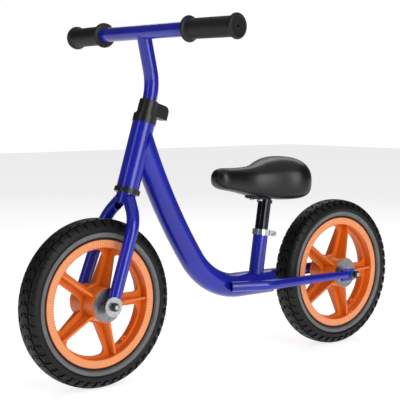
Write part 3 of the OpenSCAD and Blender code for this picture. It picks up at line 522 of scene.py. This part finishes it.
def makeSaddle():
    # a tube of rings from tail to nose, each pressed into its own soft-cornered section
    low, high = saddleLow, saddleHigh
    rise = high.z - low.z
    halfWidth = (high.y - low.y) / 2
    count = saddle["sections"]
    around = saddle["around"]
    deselectAll()
    bpy.ops.mesh.primitive_circle_add(vertices=around, radius=1, fill_type='NOTHING', location=(0, 0, 0))
    piece = bpy.context.active_object
    piece.name = "saddleCover"
    bpy.ops.object.mode_set(mode='EDIT')
    bpy.ops.mesh.select_all(action='SELECT')
    for i in range(count):
        bpy.ops.mesh.extrude_region_move(TRANSFORM_OT_translate={"value": (0, 0, 1)})
    bpy.ops.object.mode_set(mode='OBJECT')
    for vertex in piece.data.vertices:
        ring = round(vertex.co.z)
        angle = math.atan2(vertex.co.y, vertex.co.x)
        t = 0.0015 + 0.997 * (1 - math.cos(math.pi * ring / count)) / 2      # rings close up at both ends
        tailGap, noseGap = saddleLength * t, saddleLength * (1 - t)
        opening = endRounding(tailGap, 0.058) * endRounding(noseGap, 0.024)
        lift = endRounding(tailGap, 0.046) * endRounding(noseGap, 0.021)
        width = halfWidth * between(halfWidths, t) * opening
        top = low.z + rise * between(tops, t)
        bottom = low.z + rise * between(bottoms, t)
        waist = bottom + (top - bottom) * 0.45               # height of the widest line
        top = waist + (top - waist) * lift
        bottom = waist + (bottom - waist) * lift
        across, up = math.cos(angle), math.sin(angle)
        y = width * math.copysign(abs(across) ** 0.82, across)
        if up > 0:
            z = waist + (top - waist) * up ** 0.86
        else:
            z = waist - (waist - bottom) * abs(up) ** 0.55
        vertex.co = (low.x + saddleLength * t, y, z)
    # the last ring at each end is closed with one face
    for end in (low.x + saddleLength * 0.0015, low.x + saddleLength * 0.9985):
        makeActive(piece)
        bpy.ops.object.mode_set(mode='EDIT')
        bpy.ops.mesh.select_mode(type='VERT')
        bpy.ops.mesh.select_all(action='DESELECT')
        bpy.ops.object.mode_set(mode='OBJECT')
        for vertex in piece.data.vertices:
            vertex.select = abs(vertex.co.x - end) < 0.0001
        bpy.ops.object.mode_set(mode='EDIT')
        bpy.ops.mesh.edge_face_add()
        bpy.ops.object.mode_set(mode='OBJECT')
    cleanNormals(piece)
    rounding = piece.modifiers.new("rounding", 'SUBSURF')
    rounding.levels = 2
    rounding.render_levels = 2
    applyModifiers(piece)
    hollow = piece.modifiers.new("hollow", 'BOOLEAN')
    hollow.operation = 'DIFFERENCE'
    hollow.solver = 'MANIFOLD'
    hollow.object = makeHollow()
    applyModifiers(piece)
    facets = piece.modifiers.new("facets", 'TRIANGULATE')
    facets.ngon_method = 'CLIP'
    applyModifiers(piece)
    cleanNormals(piece, 0.00005)
    bpy.data.objects.remove(bpy.data.objects["saddleHollow"])
    smoothed(piece, 50)
    return piece


def wrappedPosts(name, inset, bottom, top):
    # three posts wrapped in one skin: two at the tail's corners, one towards the nose
    baseLow, baseHigh = [Vector(corner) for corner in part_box("saddle_base")]
    corner = saddle["wellCorner"] * mm
    reach = corner + saddle["shellInset"] * mm
    spots = [(baseLow.x + reach, baseLow.y + reach), (baseLow.x + reach, baseHigh.y - reach), (saddleLow.x + saddle["wellFront"] * mm, 0)]
    posts = []
    for x, y in spots:
        deselectAll()
        bpy.ops.mesh.primitive_cylinder_add(vertices=40, radius=corner - inset, depth=top - bottom, location=(x, y, (top + bottom) / 2))
        bakePlace(bpy.context.active_object)
        posts.append(bpy.context.active_object)
    skin = joined(posts, name)
    makeActive(skin)
    bpy.ops.object.mode_set(mode='EDIT')
    bpy.ops.mesh.select_all(action='SELECT')
    bpy.ops.mesh.convex_hull()
    bpy.ops.object.mode_set(mode='OBJECT')
    return skin


def makeHollow():
    # the shell sits in a shallow well under the padding
    return wrappedPosts("saddleHollow", -0.001, saddleLow.z - 0.01, plateTop + 0.0053)


def makeShell():
    shell = wrappedPosts("saddleShell", 0, plateTop, plateTop + 0.005)
    edge = shell.modifiers.new("edge", 'BEVEL')
    edge.width = 0.0012
    edge.segments = 2
    edge.limit_method = 'ANGLE'
    applyModifiers(shell)
    smoothed(shell, 40)
    return shell


print("padding the saddle")
saddleCover = makeSaddle()
finishPiece(saddleCover, "seat", "saddle_cover", ["saddle_cover"])
finishPiece(makeShell(), "seat", "saddle_plastic", ["saddle_base"])


studio = {
    "floor": "#C8C8C8",
    "floorGlow": 0.76,      # the floor is lit from within, so it stays pale under gentle lights
    "roomStrength": 0.12,    # what the room's walls give back to the object
    "top": 26.0,
    "key": 44.0,
    "fill": 8.0,
    "back": 14.0,
}


def areaLight(name, place, target, size, power):
    deselectAll()
    bpy.ops.object.light_add(type='AREA', location=place)
    light = bpy.context.active_object
    light.name = name
    light.data.shape = 'RECTANGLE'
    light.data.size = size[0]
    light.data.size_y = size[1]
    light.data.energy = power
    light.rotation_euler = (Vector(target) - Vector(place)).to_track_quat('-Z', 'Y').to_euler()
    return light


print("lighting the studio")
deselectAll()
bpy.ops.mesh.primitive_plane_add(size=16, location=(0, 0, 0))
floor = bpy.context.active_object
floor.name = "studioFloor"
floorMaterial, floorTree, floorShader = newMaterial("studioFloorPaint", {
    "Base Color": hexToLinear(studio["floor"]), "Roughness": 0.8, "Specular IOR Level": 0.1,
    "Emission Color": (1, 1, 1, 1), "Emission Strength": studio["floorGlow"]})
floor.data.materials.append(floorMaterial)
areaLight("topLight", (0.2, 0.2, 3.0), (0, 0, 0), (4.0, 4.0), studio["top"])
areaLight("keyLight", (0.2, 2.6, 1.2), (0, 0, 0.35), (1.4, 2.2), studio["key"])
areaLight("fillLight", (2.8, 0.2, 1.0), (0, 0, 0.3), (0.7, 1.8), studio["fill"])
areaLight("backLight", (-1.8, -1.6, 2.0), (0, 0, 0.3), (2.4, 0.9), studio["back"])
# a white backdrop that gives little light of its own
world = bpy.data.worlds.new("studioWorld")
bpy.context.scene.world = world
bpy.context.scene.view_settings.view_transform = 'Standard'
world.use_nodes = True
sky = world.node_tree.nodes["Background"]
sky.inputs["Color"].default_value = (1, 1, 1, 1)
rays = addNode(world.node_tree, "ShaderNodeLightPath")
seen = addNode(world.node_tree, "ShaderNodeMapRange", {"To Min": studio["roomStrength"], "To Max": 1.0}, {"Value": rays.outputs["Is Camera Ray"]})
world.node_tree.links.new(seen.outputs["Result"], sky.inputs["Strength"])

# camera: about two metres off the front left, a long lens at half a metre up
cameraPlace = Vector((1.3914, 1.5944, 0.4873))
yaw, pitch = math.radians(230.116), math.radians(-4.888)
ahead = Vector((math.cos(pitch) * math.cos(yaw), math.cos(pitch) * math.sin(yaw), math.sin(pitch)))
deselectAll()
bpy.ops.object.camera_add(location=cameraPlace)
camera = bpy.context.active_object
camera.rotation_euler = ahead.to_track_quat('-Z', 'Y').to_euler()
camera.data.lens = 102.75
camera.data.sensor_width = 36
bpy.context.scene.camera = camera
